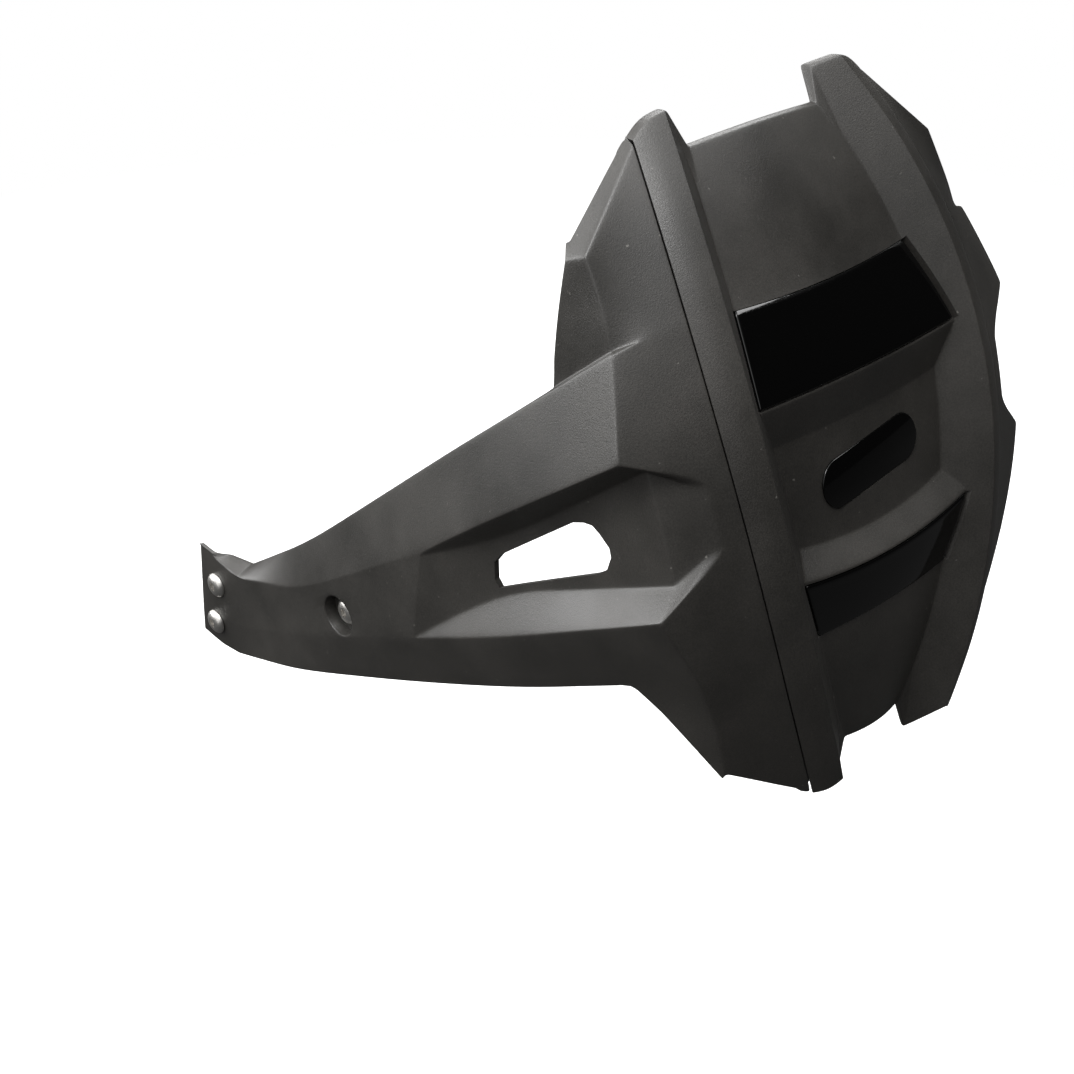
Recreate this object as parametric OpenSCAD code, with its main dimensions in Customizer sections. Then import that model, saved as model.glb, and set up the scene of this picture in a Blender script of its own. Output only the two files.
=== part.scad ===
// Rear hugger mudguard for a motorcycle.
// Three moulded shells: a louvred centre panel between two raised ribs, a
// left wing that runs forward as a long mounting arm, and a right wing.
// All sizes are worked out about the wheel axle: x is the distance from the
// wheel's centre plane (right is plus), r the distance from the axle and t
// the angle in degrees above the rearward horizontal. The finished part is
// then moved so that the middle of the two bolt holes is the origin.
// +Z is up, +Y is forward, +X is right.

/* [Centre panel] */
// Radius from the axle to the crest of the two ribs
crest_r = 347; // [340:1:356]
// Half the distance between the two crests where the guard is widest
crest_half = 69.5; // [66:0.5:73]
// Radius of the arc that each crest follows across the guard
crest_arc = 446; // [420:2:520]
// Angle at which the guard is widest
widest_t = 23.6; // [22:0.2:25]
// Width of a rib from its crest to the seam
rib_w = 14; // [12:0.5:16]
// Drop of a rib from its crest to the seam
rib_drop = 7; // [6:0.5:8]
// Sideways run of a rib's inner slope for each millimetre of drop
rib_run = 1.22; // [1:0.02:1.4]
// Depth of the flat valley below the crests
valley = 13.7; // [12.5:0.1:14.5]
// Depth of the two louvre ridges below the crests
ridge = 6; // [5:0.1:7.5]
// Crown of the panel across its width
crown = 3; // [1:0.25:4]
// Wall of the centre panel
panel_wall = 2.4; // [2:0.1:3]

/* [Gloss inlays] */
// Angle of the upper inlay's top edge
upper_in_t = 31; // [30:0.2:33]
// Angle of the upper ridge, the upper inlay's bottom edge
upper_ridge_t = 24.2; // [23.6:0.2:25]
// Angle of the lower ridge, the lower inlay's top edge
lower_ridge_t = 11.9; // [11.4:0.1:12.5]
// Angle of the lower inlay's bottom edge
lower_in_t = 6.7; // [5.4:0.1:7.4]
// Depth of the pocket that each inlay lies in
pocket = 1.4; // [1:0.1:2]
// Height of an inlay above the panel round it
proud = 0.5; // [0:0.1:1]
// Clearance round and under an inlay
inlay_gap = 0.15; // [0.1:0.05:0.3]
// Diameter of an inlay's locating post
post_d = 3; // [2:0.5:4]
// Length of the centre badge recess, which is left plain
badge_len = 62; // [40:1:66]
// Height of the centre badge recess
badge_h = 21; // [10:1:23]

/* [Wings] */
// Wall of the wings and the arm
wing_wall = 2.6; // [2.2:0.1:3]
// Open joint between the centre panel and a wing
seam_gap = 0.6; // [0.4:0.1:1]
// Depth of a wing's screw flange below the seam
tuck = 3.2; // [3:0.1:3.8]
// Radius from the axle to the crease where a wing turns into its side
side_r = 324.5; // [321:0.5:327]
// How far each wing's scoop is sunk
scoop = 11; // [7:0.5:12]

/* [Arm] */
// Distance from the wheel's centre plane to the arm's outer face
arm_out = 120; // [117:0.5:124]
// Screw size of the arm
screw_d = 6; // [5:0.5:6]
// Diameter of a screw's button head
head_d = 13.6; // [12:0.2:14]
// Height of a screw's button head
head_h = 3.4; // [3:0.1:3.8]
// Diameter of the rear screw's counterbore
cbore_d = 21; // [18:0.5:23]
// Depth of the rear screw's counterbore
cbore_deep = 6.5; // [5:0.25:7]
// Outer diameter of the screw bosses
boss_d = 15; // [13.5:0.5:17]
// Wall of a compression sleeve
sleeve_wall = 1.3; // [1:0.1:1.5]
// Clearance between a screw and the hole that it passes
screw_gap = 0.2; // [0.1:0.05:0.3]

/* [Mounting bracket] */
// Thickness of the bracket plate
bracket_t = 4; // [3:0.5:5]
// Distance from the arm's outer face to the bracket
bracket_in = 9; // [8.5:0.25:11]
// Half width of the bracket's legs
leg_r = 9.5; // [8.5:0.5:11]
// Distance between the two mounting holes
hole_pitch = 30; // [26:1:34]
// Diameter of the two mounting holes
hole_d = 8.4; // [6:0.2:9]
// Width across flats of a weld nut
nut_af = 10; // [9:0.5:12]
// Height of a weld nut
nut_h = 5; // [4:0.5:6]

/* [Joint screws] */
// Shank diameter of a joint screw
joint_d = 4; // [3:0.5:4.5]
// Diameter of a joint screw's pan head
joint_head = 8; // [7:0.5:9]
// Diameter of the boss under a rib
joint_boss = 9; // [8:0.5:10]
// Clearance where a flat seat meets the curved screw flange
seat_gap = 0.2; // [0.15:0.05:0.3]

/* [Hidden] */
$fn = 48;
e = 0.02;

plastic = [0.25, 0.25, 0.26];
gloss = [0.05, 0.05, 0.06];
steel = [0.72, 0.73, 0.75];
zinc = [0.55, 0.56, 0.58];

// Ends of the centre panel
top_t = 42;
horn_t = 44.2;
bottom_t = -4.1;
tip_t = -4.7;

// Angles of the valley between the two ridges
return_t = upper_ridge_t - 2.9;
ramp_t = lower_ridge_t + 1.8;

// Screw places on the arm, as y and z from the axle
screw_up = [1, -63.5];
screw_low = [5.4, -89.2];
screw_rear = [-108, -28.5];
mount_mid = [-46, -64];
bracket_x = arm_out - bracket_in;
mount_x = bracket_x - bracket_t;

// Angles of the joint screws on each side
joint_t = [36, 21.5, 1];

// Points and curves

function pol(x, r, t) = [x, -r * cos(t), r * sin(t)];
function mix(a, b, u) = a + (b - a) * u;
function unit(v) = v / max(norm(v), 1e-9);
function side(p, s) = [p[0] * s, p[1], p[2]];
function degs(mm, r) = mm / r * 180 / PI;

// Half width, radius and seam of a rib at angle t
function crest_w(t) = crest_half - pow((t - widest_t) * PI / 180 * crest_r, 2) / (2 * crest_arc);
function crest_rad(t) = crest_r - min(0.14 * (t - 24), 3.4) - min(0, 0.14 * (t - 4));
function seam_w(t) = crest_w(t) + rib_w;
function seam_r(t) = crest_rad(t) - rib_drop;

// Radius of the panel between the ribs, with its two louvres
function plate_r(t) = crest_r - lookup(t, [
    [bottom_t, valley - 4.1],
    [lower_in_t, ridge + 4.3],
    [lower_ridge_t, ridge],
    [ramp_t, valley],
    [return_t, valley],
    [upper_ridge_t, ridge],
    [upper_in_t, valley - 0.4],
    [top_t, valley + 0.9]]);

// Downward bow of the louvre lines at the middle
function bow(t) = lookup(t, [
    [lower_in_t, 0], [lower_ridge_t, 4.4], [ramp_t, 4.4], [return_t, 1.1],
    [upper_ridge_t, 1.1], [upper_in_t, 2.9], [upper_in_t + 4, 0]]);

// Half width of the panel between the ribs where its radius is r
function foot_w(t, r) = crest_w(t) - (crest_rad(t) - r) * rib_run;

// Point of the panel between the ribs: f runs from -1 to 1 across it
function plate_pt(t, f, sink) =
    let (r = plate_r(t) - sink, u = 1 - f * f)
    pol(f * foot_w(t, r), r + crown * u, t - degs(bow(t), r) * u);

// Closed slab between two grids of points

function grid_faces(n, m) = [
    for (i = [0:n - 2]) for (j = [0:m - 2])
        each [[i * m + j, i * m + j + 1, (i + 1) * m + j + 1],
              [i * m + j, (i + 1) * m + j + 1, (i + 1) * m + j]]];
function grid_rim(n, m) = concat(
    [for (i = [0:n - 2]) i * m],
    [for (j = [0:m - 2]) (n - 1) * m + j],
    [for (i = [n - 1:-1:1]) i * m + m - 1],
    [for (j = [m - 1:-1:1]) j]);

// Skin over faces and a second skin under them, closed along the rim
function turn(f) = [f[0], f[2], f[1]];
function skin_faces(faces, rim, n) = concat(
    faces,
    [for (f = faces) [for (k = turn(f)) k + n]],
    [for (i = [0:len(rim) - 1])
        let (a = rim[i], b = rim[(i + 1) % len(rim)])
        each [[a, b, b + n], [a, b + n, a + n]]]);

module slab(outer, inner) {
    n = len(outer);
    m = len(outer[0]);
    pts = concat([for (r = outer) each r], [for (r = inner) each r]);
    polyhedron(pts, skin_faces(grid_faces(n, m), grid_rim(n, m), n * m), convexity = 8);
}

// Outward normals of a grid of points
function grid_normal(g, i, j) =
    let (n = len(g) - 1, m = len(g[0]) - 1,
         a = g[i][min(j + 1, m)] - g[i][max(j - 1, 0)],
         b = g[min(i + 1, n)][j] - g[max(i - 1, 0)][j])
    unit(cross(b, a));

// Centre panel

plate_cols = [-0.94, -0.75, -0.5, -0.25, 0, 0.25, 0.5, 0.75, 0.94];

// Foot of a rib's inner slope, and its end on the horns and the lower tips,
// where it lies in from the crest and down from it by the two given sizes
function foot_pt(t, s, sink) = plate_pt(t, s, sink);
function horn_pt(t, s, inset, down) = side(pol(crest_w(t) - inset, crest_rad(t) - down, t), s);

// One row of the panel at angle t: rib, foot, plate, foot, rib
function rib_pts(tc, tf, ts, s) = [
    side(pol(crest_w(tc), crest_rad(tc), tc), s),
    side(pol(crest_w(tf) + 0.57 * rib_w, crest_rad(tf) - 0.25 * rib_drop, tf), s),
    side(pol(seam_w(ts), seam_r(ts), ts), s)];
function back(v) = [for (i = [len(v) - 1:-1:0]) v[i]];
function panel_row(t, tc, tf, ts, foot, sink) = concat(
    back(rib_pts(tc, tf, ts, -1)),
    [foot[0]],
    [for (f = plate_cols) plate_pt(t, f, sink)],
    [foot[1]],
    rib_pts(tc, tf, ts, 1));
function plain_row(t, sink) = panel_row(t, t, t, t, [for (s = [-1, 1]) foot_pt(t, s, sink)], sink);
function top_row() = panel_row(top_t, horn_t, horn_t, horn_t - 0.8,
    [for (s = [-1, 1]) horn_pt(horn_t + 0.4, s, 8.8, 8.2)], 0);
function end_row() = panel_row(bottom_t, tip_t, tip_t - 0.8, tip_t - 1.1,
    [for (s = [-1, 1]) horn_pt(tip_t - 2.15, s, 8, 11.7)], 0);

// Angles of the rows, closer together where the panel turns
step = 0.08;
panel_ts = [
    [39.6, 0], [37.2, 0], [34.8, 0], [32.9, 0],
    [upper_in_t + step, 0], [upper_in_t, 1], [mix(upper_in_t, upper_ridge_t, 0.33), 1],
    [mix(upper_in_t, upper_ridge_t, 0.66), 1], [upper_ridge_t + 2 * step, 1],
    [upper_ridge_t + step, 0], [upper_ridge_t - step, 0],
    [return_t, 0], [mix(return_t, ramp_t, 0.25), 0], [mix(return_t, ramp_t, 0.5), 0],
    [mix(return_t, ramp_t, 0.75), 0], [ramp_t, 0], [lower_ridge_t + step, 0],
    [lower_ridge_t - step, 0], [lower_ridge_t - 2 * step, 1],
    [mix(lower_ridge_t, lower_in_t, 0.5), 1], [lower_in_t, 1],
    [lower_in_t - step, 0], [4.8, 0], [2.8, 0], [0.6, 0], [-1.8, 0]];

function panel_grid(p) = concat(
    [lip_row(top_row())],
    [top_row()],
    [for (q = panel_ts) plain_row(q[0], p * pocket * q[1])],
    [end_row()]);

// Turned edge along the top of the panel, deep on the horns
function lip_row(row) = [for (j = [0:len(row) - 1])
    let (p = row[j], r = norm([p[1], p[2]]), t = atan2(p[2], -p[1]),
         horn = (j < 4 || j > len(row) - 5) ? 1 : 0)
    pol(p[0] - (horn ? 0.85 * sign(p[0]) : 0), r - (horn ? 4.2 : 0.5), t + (horn ? 0.55 : 0.1))];

module panel_shell() {
    top = panel_grid(1);
    base = panel_grid(0);
    w = panel_wall + pocket * 0.5;
    under = [for (i = [0:len(base) - 1]) [for (j = [0:len(base[0]) - 1])
        base[i][j] - w * grid_normal(base, max(i, 1), j)]];
    slab(top, under);
}

// Frame at angle t: z points outward from the axle
module radial(x, t) {
    translate([x, 0, 0]) rotate([90 - t, 0, 0]) children();
}

function joint_x(t) = crest_w(t) + 0.33 * rib_w;
module joint_places(s) {
    for (t = joint_t) radial(s * joint_x(t), t) {
        translate([0, 0, seam_r(t) - tuck]) children();
    }
}

module inlay_posts(d, lo, hi) {
    for (q = post_places) radial(q[0], q[1]) translate([0, 0, q[2] + lo]) cylinder(d = d, h = hi - lo);
}

// Posts of the inlays: x, angle and the radius of the plate there
post_places = [for (t = [mix(upper_in_t, upper_ridge_t, 0.5), mix(lower_ridge_t, lower_in_t, 0.5)])
    for (s = [-1, 1]) [s * 34, t, plate_r(t) - pocket + crown * 0.6]];

// Outline of the badge recess, a plain slanted bar with rounded ends
module badge_outline(grow) {
    a = badge_len / 2 - badge_h / 2;
    for (s = [-1, 1]) translate([s * a, s * 2.4]) circle(d = badge_h + 2 * grow);
    polygon([[-a, -2.4 - badge_h / 2 - grow], [a, 2.4 - badge_h / 2 - grow],
             [a, 2.4 + badge_h / 2 + grow], [-a, -2.4 + badge_h / 2 + grow]]);
}

badge_t = mix(return_t, ramp_t, 0.52);
badge_r = plate_r(badge_t) + crown - 1.3;

module centre_panel() {
    color(plastic) difference() {
        union() {
            panel_shell();
            for (s = [-1, 1]) joint_places(s) translate([0, 0, seat_gap])
                cylinder(d = joint_boss, h = tuck + rib_drop - 3.5 - seat_gap);
        }
        for (s = [-1, 1]) joint_places(s)
            translate([0, 0, -1]) cylinder(d = joint_d + screw_gap, h = tuck + rib_drop - 3);
        radial(0, badge_t) translate([0, 0, badge_r])
            linear_extrude(10) badge_outline(inlay_gap);
        inlay_posts(post_d + 2 * inlay_gap, -8, 4);
    }
}

// Gloss inlays

function inlay_row(t, sink, f0) = [for (f = concat([-1], plate_cols, [1])) plate_pt(t, f * f0, sink)];

module inlay(t0, t1) {
    rows = [for (u = [0:0.25:1]) mix(t0, t1, u)];
    top = [for (t = rows) inlay_row(t, -proud, 0.985)];
    under = [for (t = rows) [for (p = inlay_row(t, pocket - inlay_gap, 0.985)) p]];
    slab(top, under);
}

module inlay_post_set(k) {
    for (i = [2 * k, 2 * k + 1]) radial(post_places[i][0], post_places[i][1])
        translate([0, 0, post_places[i][2] - panel_wall - pocket - 1.2])
            cylinder(d = post_d, h = panel_wall + pocket + 1.8);
}

module upper_inlay() {
    color(gloss) union() {
        inlay(upper_in_t - step, upper_ridge_t + 3 * step);
        inlay_post_set(0);
    }
}

module lower_inlay() {
    color(gloss) union() {
        inlay(lower_ridge_t - 3 * step, lower_in_t + step);
        inlay_post_set(1);
    }
}

module centre_badge() {
    color(gloss) radial(0, badge_t) translate([0, 0, badge_r])
        linear_extrude(0.9) badge_outline(-inlay_gap);
}

// Wings

// Rows of a wing from the top edge down: the angle at the seam, then the
// crease as distance inboard of the arm's face, drop below side_r and angle
wing_rows = [
    [44.0, 20.3, 7.5, 39.35],
    [43.2, 15.5, -2.0, 37.75],
    [40.4, 15.4, -1.4, 36.4],
    [37.2, 14.7, -0.5, 34.7],
    [34.2, 13.6, 0.6, 33.0],
    [31.55, 13.3, 2.2, 31.45],
    [31.3, 11.2, 0, 31.3],
    [28.0, 6.8, 0.4, 29.0],
    [24.4, 2.4, 0.7, 26.7],
    [20.8, -2.0, 0.9, 24.4],
    [20.4, -1.6, 0.8, 22.6],
    [19.2, 0, 0.5, 18.7],
    [18.0, 1.4, 0.3, 14.8],
    [17.6, 1.7, 0.2, 12.9],
    [12.8, 8.2, -2.0, 10.2],
    [8.0, 15.4, -3.8, 7.4],
    [5.0, 21.3, -4.5, 4.5],
    [1.6, 26.2, -4.5, 1.5],
    [-2.2, 29.7, -4.8, -0.4],
    [-5.6, 31.5, -5.0, -1.8]];
ROW_T = 5;
ROW_B = 9;
ROW_L = 13;
ROW_D = 15;
ROWS = len(wing_rows);

function crease_pt(k) = let (q = wing_rows[k]) pol(-(arm_out - q[1]), side_r - q[2], q[3]);

// Floor of the scoop at its corner, for the three rows that are sunk
function floor_pt(k) = pol(-(arm_out - scoop - 1.2 - (k - ROW_B - 1)), side_r - 2.5,
    [23.2, 19.2, 14.7][k - ROW_B - 1]);
function sunk(k) = k > ROW_B && k < ROW_L;

// Squeezed angles for the screw flange, which ends short of both edges:
// its free edge and its fold
function tuck_t(ts) = mix(-4.2, 42.9, (ts + 5.6) / 49.6);
function fold_t(ts) = mix(-5.3, 43.25, (ts + 5.6) / 49.6);

// The step above the arm fades out across the wing's face
function face_pt(k) = k == ROW_T ? mix(crease_pt(k - 1), crease_pt(k + 1), 0.86) : crease_pt(k);

function wing_pt(k, c) =
    let (ts = wing_rows[k][0], tt = c == 0 ? tuck_t(ts) : fold_t(ts),
         lip = k == 0 ? 3.6 : 0,
         s2 = pol(-(seam_w(ts) + seam_gap), seam_r(ts) - lip, ts),
         p3 = mix(s2, face_pt(k), 0.26))
    c == 0 ? pol(-(crest_w(tt) - 4.5), seam_r(tt) - tuck, tt)
    : c == 1 ? pol(-(seam_w(tt) + seam_gap - 0.02), seam_r(tt) - tuck, tt)
    : c == 2 ? s2
    : c == 3 ? p3
    : c == 4 ? mix(p3, sunk(k) ? floor_pt(k) : face_pt(k), 0.5)
    : sunk(k) ? floor_pt(k) : crease_pt(k);

// Free edges of the two side flanges, above and below the arm
function flange_edge(k) =
    k < ROW_T ? [-(arm_out - [19.6, 14.1, 13.2, 12.6, 12.4][k]),
                 [-243.4, -248.8, -247.4, -246, -245][k],
                 [199.8, 196, 183, 169, 155][k]]
    : [-(arm_out - mix(13, 30, (k - ROW_D) / 4)),
       mix(-295, -328.4, pow((k - ROW_D) / 4, 0.9)),
       mix(24.5, -12.6, (k - ROW_D) / 4)];
function flange_pt(k, c) = let (a = crease_pt(k), b = flange_edge(k)) mix(a, b, c == 6 ? 0.5 : 1);

// The arm's six lines at seven stations from the scoop's deep end to the tab:
// inboard of the arm's face, then y and z from the axle
line_top = [[8, -187, 92.4], [7, -153, 62.6], [5.5, -80.5, -0.6], [10, -21, -43.6],
            [9, -1.5, -46.5], [0, 1.8, -43.8], [0, 13.6, -43]];
line_band = [[-0.8, -213.7, 71], [0, -173.8, 39.1], [0, -77.3, -28.3], [0, -20, -48.5],
             [0, -1.5, -46.2], [0, 1.8, -45.4], [0, 13.6, -44.6]];
line_lip = [[0.8, -226, 19.6], [0, -165.9, -12.4], [0, -66, -62], [0, -17, -82],
            [0, 0, -83], [0, 3, -83], [0, 18, -83.5]];
line_foot = [[8.7, -226, -11.5], [5.8, -160, -43], [3, -66, -85.5], [1.7, -11, -103],
             [1, 3, -104], [1, 6, -104], [0.5, 20.5, -102]];
function floor_top(s) = s == 0 ? line_band[0] + [scoop, -5, -8] : mix(line_band[s], line_lip[s], 0.06);
function floor_low(s) = s == 0 ? line_lip[0] + [scoop - 1.6, 10.5, 14.4] : mix(line_band[s], line_lip[s], 0.94);

// Turned edge along the top of the arm
function line_edge(s) = line_top[s] + (s < 3 || s > 4 ? [2.6, 0.3, -0.5] : [1.8, 0, -1.6]);

// Arm point of a row at a key station, 0 being the deep end of the scoop
function key_pt(k, s) =
    let (q = k == ROW_T ? line_edge(s)
        : k < ROW_B ? mix(line_top[s], line_band[s], (k - ROW_T - 1) / 3)
        : k == ROW_B ? line_band[s]
        : k < ROW_L ? mix(floor_top(s), floor_low(s), (k - ROW_B - 1) / 2)
        : k == ROW_L ? line_lip[s]
        : mix(line_lip[s], line_foot[s], (k - ROW_L) / 2))
    [-(arm_out - q[0]), q[1], q[2]];

// Columns beyond the crease: station and the share of the way to the next
arm_cols = [[-1, 0.17], [-1, 0.34], [-1, 0.67], [0, 0], [1, 0], [1, 0.5], [2, 0], [2, 0.5],
            [3, 0], [4, 0], [5, 0], [6, 0]];
function arm_pt(k, m) =
    let (q = arm_cols[m - 1], a = q[0] < 0 ? wing_pt(k, 5) : key_pt(k, q[0]),
         b = q[1] == 0 ? a : key_pt(k, q[0] + 1))
    mix(a, b, q[1]);

CREASE = 5;
FLANGE = 7;
LAST = CREASE + len(arm_cols);

function has_pt(k, c, arm) = k >= 0 && k < ROWS && c >= 0 &&
    (c <= FLANGE || (arm && c <= LAST && k >= ROW_T && k <= ROW_D));
function side_pt(k, c) =
    c <= CREASE ? wing_pt(k, c)
    : (k >= ROW_T && k <= ROW_D) ? arm_pt(k, c - CREASE)
    : flange_pt(k, c);

function has_quad(k, c, arm) = has_pt(k, c, arm) && has_pt(k + 1, c, arm) &&
    has_pt(k, c + 1, arm) && has_pt(k + 1, c + 1, arm);
function quad_normal(g, k, c) = unit(cross(g[k + 1][c + 1] - g[k][c], g[k + 1][c] - g[k][c + 1]));
function sum(v, i = 0) = i >= len(v) ? [0, 0, 0] : v[i] + sum(v, i + 1);

// Point under the skin: the wall is measured square to the faces that meet
function under_pt(g, k, c, arm) =
    let (ns = [for (a = [-1, 0]) for (b = [-1, 0])
             if (has_quad(k + a, c + b, arm)) quad_normal(g, k + a, c + b)],
         n = unit(sum(ns)),
         d = sum([for (v = ns) [v * n, 0, 0]])[0] / len(ns))
    g[k][c] - n * wing_wall / max(d, 0.6);

// Number of a point in the list: the wing's columns first, then the arm's
function vid(k, c) = c <= FLANGE ? k * (FLANGE + 1) + c
    : ROWS * (FLANGE + 1) + (k - ROW_T) * (LAST - FLANGE) + c - FLANGE - 1;

// Left shell, with the arm or cut off along the flange's front edge
module wing_shell(arm) {
    last = arm ? LAST : FLANGE;
    g = [for (k = [0:ROWS - 1]) [for (c = [0:last]) has_pt(k, c, arm) ? side_pt(k, c) : undef]];
    wing = [for (k = [0:ROWS - 1]) for (c = [0:FLANGE]) [k, c]];
    more = arm ? [for (k = [ROW_T:ROW_D]) for (c = [FLANGE + 1:LAST]) [k, c]] : [];
    all = concat(wing, more);
    faces = [for (k = [0:ROWS - 2]) for (c = [0:last - 1]) if (has_quad(k, c, arm))
        each [[vid(k, c), vid(k + 1, c + 1), vid(k, c + 1)],
              [vid(k, c), vid(k + 1, c), vid(k + 1, c + 1)]]];
    rim = concat(
        [for (k = [0:ROWS - 2]) vid(k, 0)],
        [for (c = [0:FLANGE - 1]) vid(ROWS - 1, c)],
        arm ? concat(
            [for (k = [ROWS - 1:-1:ROW_D + 1]) vid(k, FLANGE)],
            [for (c = [FLANGE:LAST - 1]) vid(ROW_D, c)],
            [for (k = [ROW_D:-1:ROW_T + 1]) vid(k, LAST)],
            [for (c = [LAST:-1:FLANGE + 1]) vid(ROW_T, c)],
            [for (k = [ROW_T:-1:1]) vid(k, FLANGE)])
        : [for (k = [ROWS - 1:-1:1]) vid(k, FLANGE)],
        [for (c = [FLANGE:-1:1]) vid(0, c)]);
    pts = concat([for (q = all) g[q[0]][q[1]]],
                 [for (q = all) under_pt(g, q[0], q[1], arm)]);
    polyhedron(pts, skin_faces(faces, back(rim), len(all)), convexity = 10);
}

// Cylinder along x from the distance a to the distance b, on the left
module across(p, a, b, d) {
    translate([-a, p[0], p[1]]) rotate([0, 90, 0]) cylinder(d = d, h = a - b);
}

module joint_holes() {
    joint_places(-1) translate([0, 0, -wing_wall - 3])
        cylinder(d = joint_d + 2 * screw_gap, h = wing_wall + 6);
}

// Opening through the floor of the scoop
module window() {
    translate([-(arm_out - 3), 0, 0]) rotate([90, 0, 90]) linear_extrude(30)
        polygon([[-216, 36.5], [-213.5, 40], [-213.5, 49], [-217, 54], [-258, 87.5],
                 [-264, 90], [-268.5, 90.5], [-272, 88.5], [-277.5, 84],
                 [-278.5, 80], [-276.5, 73.5], [-273.5, 70.5], [-270, 68]]);
}

sleeve_d = screw_d + 2 * screw_gap + 2 * sleeve_wall;

module left_wing_arm() {
    floor_x = arm_out - cbore_deep;
    color(plastic) difference() {
        union() {
            wing_shell(true);
            across(screw_up, arm_out - 1, bracket_x, boss_d);
            across(screw_low, arm_out - 1, bracket_x, boss_d);
            across(screw_rear, arm_out - 1, bracket_x, cbore_d + 5);
        }
        for (p = [screw_up, screw_low, screw_rear])
            across(p, arm_out + 5, bracket_x - 5, sleeve_d + 2 * e);
        across(screw_rear, arm_out + 5, floor_x, cbore_d);
        window();
        joint_holes();
    }
}

module right_wing() {
    color(plastic) mirror([1, 0, 0]) difference() {
        wing_shell(false);
        joint_holes();
    }
}

// Bracket and fasteners

module leg(a, b) {
    v = b - a;
    translate(a) rotate(atan2(v[1], v[0])) translate([0, 1 - leg_r]) square([norm(v), 2 * leg_r - 2]);
    translate(a) circle(r = leg_r);
    translate(b) circle(r = leg_r);
}

hole_a = mount_mid + [hole_pitch / 2, 0];
hole_b = mount_mid - [hole_pitch / 2, 0];

module mounting_bracket() {
    color(zinc) difference() {
        translate([-bracket_x, 0, 0]) rotate([90, 0, 90]) linear_extrude(bracket_t) {
            leg(screw_up, screw_low);
            leg(screw_up, hole_a);
            leg(hole_a, hole_b);
            leg(hole_b, screw_rear);
        }
        for (p = [screw_up, screw_low, screw_rear])
            across(p, bracket_x + 5, mount_x - 5, screw_d + 2 * screw_gap);
        for (p = [hole_a, hole_b])
            across(p, bracket_x + 5, mount_x - 5, hole_d);
    }
}

// Button-head screw along x: the seat of its head lies at the distance x
module button_screw(p, x) {
    long = x - mount_x + nut_h + 1.5;
    translate([-x, p[0], p[1]]) rotate([0, 90, 0]) difference() {
        union() {
            cylinder(d = screw_d, h = long);
            translate([0, 0, -head_h]) intersection() {
                cylinder(d = head_d, h = head_h);
                translate([0, 0, head_d * 0.72]) sphere(d = head_d * 1.44, $fn = 64);
            }
        }
        translate([0, 0, -head_h - 1]) cylinder(d = screw_d * 0.66, h = head_h, $fn = 6);
    }
}

module arm_screw_upper() {
    color(steel) button_screw(screw_up, arm_out);
}

module arm_screw_lower() {
    color(steel) button_screw(screw_low, arm_out);
}

module arm_screw_rear() {
    color(steel) button_screw(screw_rear, arm_out - cbore_deep);
}

module sleeve(p, x) {
    difference() {
        across(p, x, bracket_x, sleeve_d);
        across(p, x + 1, bracket_x - 1, screw_d + 2 * screw_gap);
    }
}

module arm_sleeves() {
    color(zinc) union() {
        sleeve(screw_up, arm_out);
        sleeve(screw_low, arm_out);
        sleeve(screw_rear, arm_out - cbore_deep);
    }
}

module weld_nut(p) {
    translate([-mount_x, p[0], p[1]]) rotate([0, 90, 0]) difference() {
        cylinder(d = nut_af / cos(30), h = nut_h, $fn = 6);
        translate([0, 0, -1]) cylinder(d = screw_d + screw_gap, h = nut_h + 2);
    }
}

module weld_nuts() {
    color(zinc) for (p = [screw_up, screw_low, screw_rear]) weld_nut(p);
}

// Screws from inside the wing's flange into the bosses under the ribs
module joint_screw() {
    translate([0, 0, -wing_wall - 2 * seat_gap - 2.2]) difference() {
        union() {
            cylinder(d = joint_head, h = 2.2);
            cylinder(d = joint_d, h = wing_wall + 2 * seat_gap + 2.2 + 5.5);
        }
        translate([0, 0, -1]) cylinder(d = 2.2, h = 2.2, $fn = 6);
    }
}

module left_joint_screws() {
    color(steel) joint_places(-1) joint_screw();
}

module right_joint_screws() {
    color(steel) joint_places(1) joint_screw();
}

// The finished part, moved to the middle of the two mounting holes
module at_mount() {
    translate([mount_x, -mount_mid[0], -mount_mid[1]]) children();
}

at_mount() centre_panel();
at_mount() left_wing_arm();
at_mount() right_wing();
at_mount() upper_inlay();
at_mount() lower_inlay();
at_mount() centre_badge();
at_mount() mounting_bracket();
at_mount() arm_screw_upper();
at_mount() arm_screw_lower();
at_mount() arm_screw_rear();
at_mount() arm_sleeves();
at_mount() weld_nuts();
at_mount() left_joint_screws();
at_mount() right_joint_screws();
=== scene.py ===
# %% [markdown]
# # A rear hugger mudguard
#
# A hugger is a close-fitting plastic mudguard. This one has three moulded
# shells: a louvred centre panel between two raised ribs, a right wing, and
# a left wing that runs forward as a long arm to a bolted steel bracket. The
# solids were built before, to size, and come in here as a fixed frame. This
# lesson dresses them: it gives the shells their smooth curves and soft
# moulded edges, and every surface its finish. All lengths are metres in
# Blender, and +Z is up, +Y forward and +X to the right.

# %% The frame
import math

import bmesh
import bpy
from mathutils import Matrix, Vector


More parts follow.
